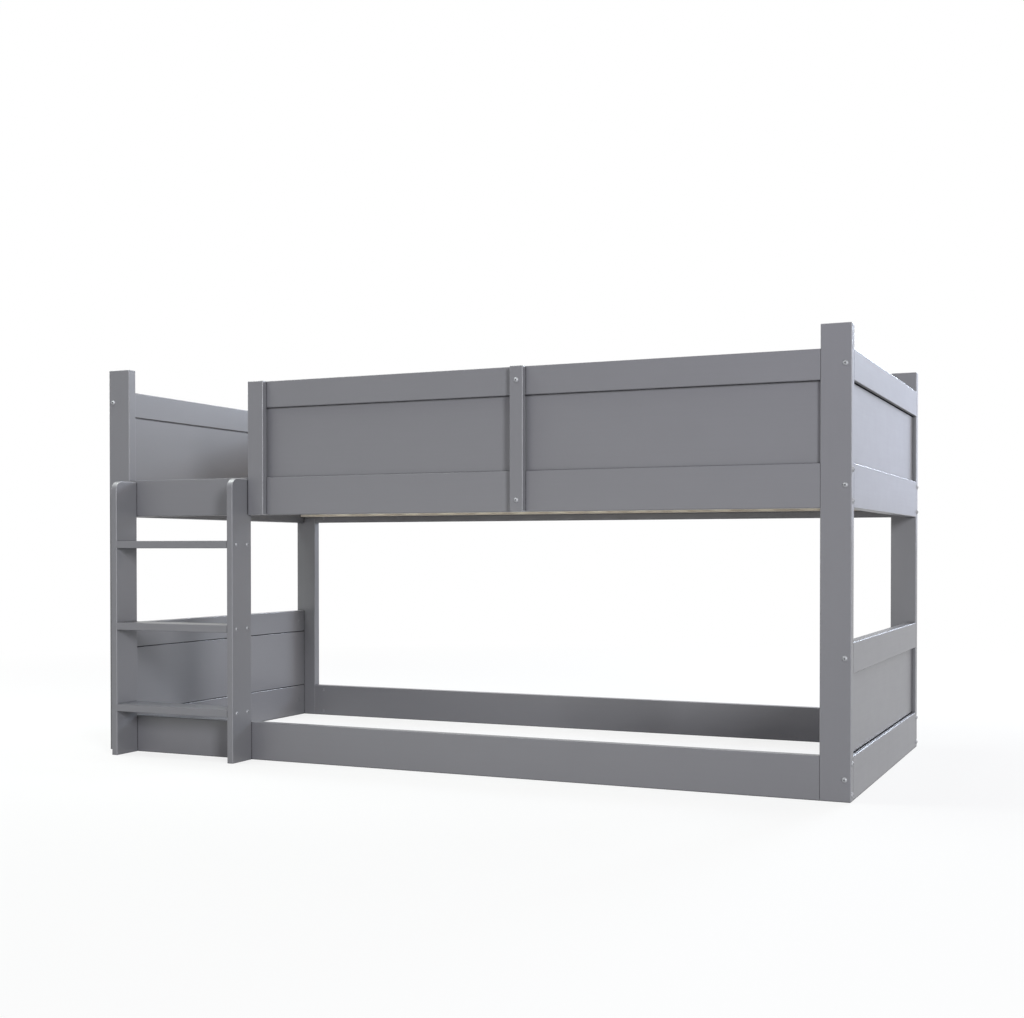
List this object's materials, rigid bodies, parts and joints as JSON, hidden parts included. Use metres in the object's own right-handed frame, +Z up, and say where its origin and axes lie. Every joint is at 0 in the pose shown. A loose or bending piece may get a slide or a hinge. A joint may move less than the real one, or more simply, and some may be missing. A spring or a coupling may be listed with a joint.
{
  "type": "low bunk bed",
  "caption": "Low bunk bed with panelled ends, a panelled front guard, a slatted upper bed, an open lower bed frame on the floor and an upright side-mounted ladder.",
  "frame": {"origin": "on the floor, in the middle of the outline seen from above", "axes": "+X along the bed, from the ladder's end to the other; -Y is the ladder side; +Z is up"},
  "size_m": [2.077, 1.0686, 1.065],
  "materials": {
    "grey_paint": "satin grey paint on wood",
    "natural_pine": "planed natural pine",
    "beech": "raw beech",
    "zinc_steel": "zinc plated"
  },
  "bodies": {
    "root": {"post_front_left": "grey_paint", "post_front_right": "grey_paint", "post_back_left": "grey_paint", "post_back_right": "grey_paint", "upper_side_rail_front": "grey_paint", "upper_side_rail_back": "grey_paint", "lower_side_rail_front": "grey_paint", "lower_side_rail_back": "grey_paint", "guard_top_rail_front": "grey_paint", "guard_panel_front": "grey_paint", "guard_end_stile": "grey_paint", "guard_middle_stile": "grey_paint", "guard_top_rail_back": "grey_paint", "guard_panel_back": "grey_paint", "ladder_stringer_left": "grey_paint", "ladder_stringer_right": "grey_paint", "ladder_tread_1": "grey_paint", "ladder_tread_2": "grey_paint", "ladder_tread_3": "grey_paint", "upper_left_bottom_rail": "grey_paint", "upper_left_panel": "grey_paint", "upper_left_top_rail": "grey_paint", "upper_right_bottom_rail": "grey_paint", "upper_right_panel": "grey_paint", "upper_right_top_rail": "grey_paint", "lower_left_bottom_rail": "grey_paint", "lower_left_panel": "grey_paint", "lower_left_top_rail": "grey_paint", "lower_right_bottom_rail": "grey_paint", "lower_right_panel": "grey_paint", "lower_right_top_rail": "grey_paint", "slat_ledger_front": "natural_pine", "slat_ledger_back": "natural_pine", "slat_01": "natural_pine", "slat_02": "natural_pine", "slat_03": "natural_pine", "slat_04": "natural_pine", "slat_05": "natural_pine", "slat_06": "natural_pine", "slat_07": "natural_pine", "slat_08": "natural_pine", "slat_09": "natural_pine", "slat_10": "natural_pine", "slat_11": "natural_pine", "slat_12": "natural_pine", "slat_13": "natural_pine", "slat_14": "natural_pine", "slat_15": "natural_pine", "dowels": "beech", "side_rail_bolts": "zinc_steel", "end_rail_bolts": "zinc_steel", "barrel_nuts": "zinc_steel", "stile_bolts": "zinc_steel", "stile_inserts": "zinc_steel", "tread_screws": "zinc_steel", "ladder_screws": "zinc_steel", "frame_screws": "zinc_steel", "slat_screws": "zinc_steel"}
  },
  "joints": []
}
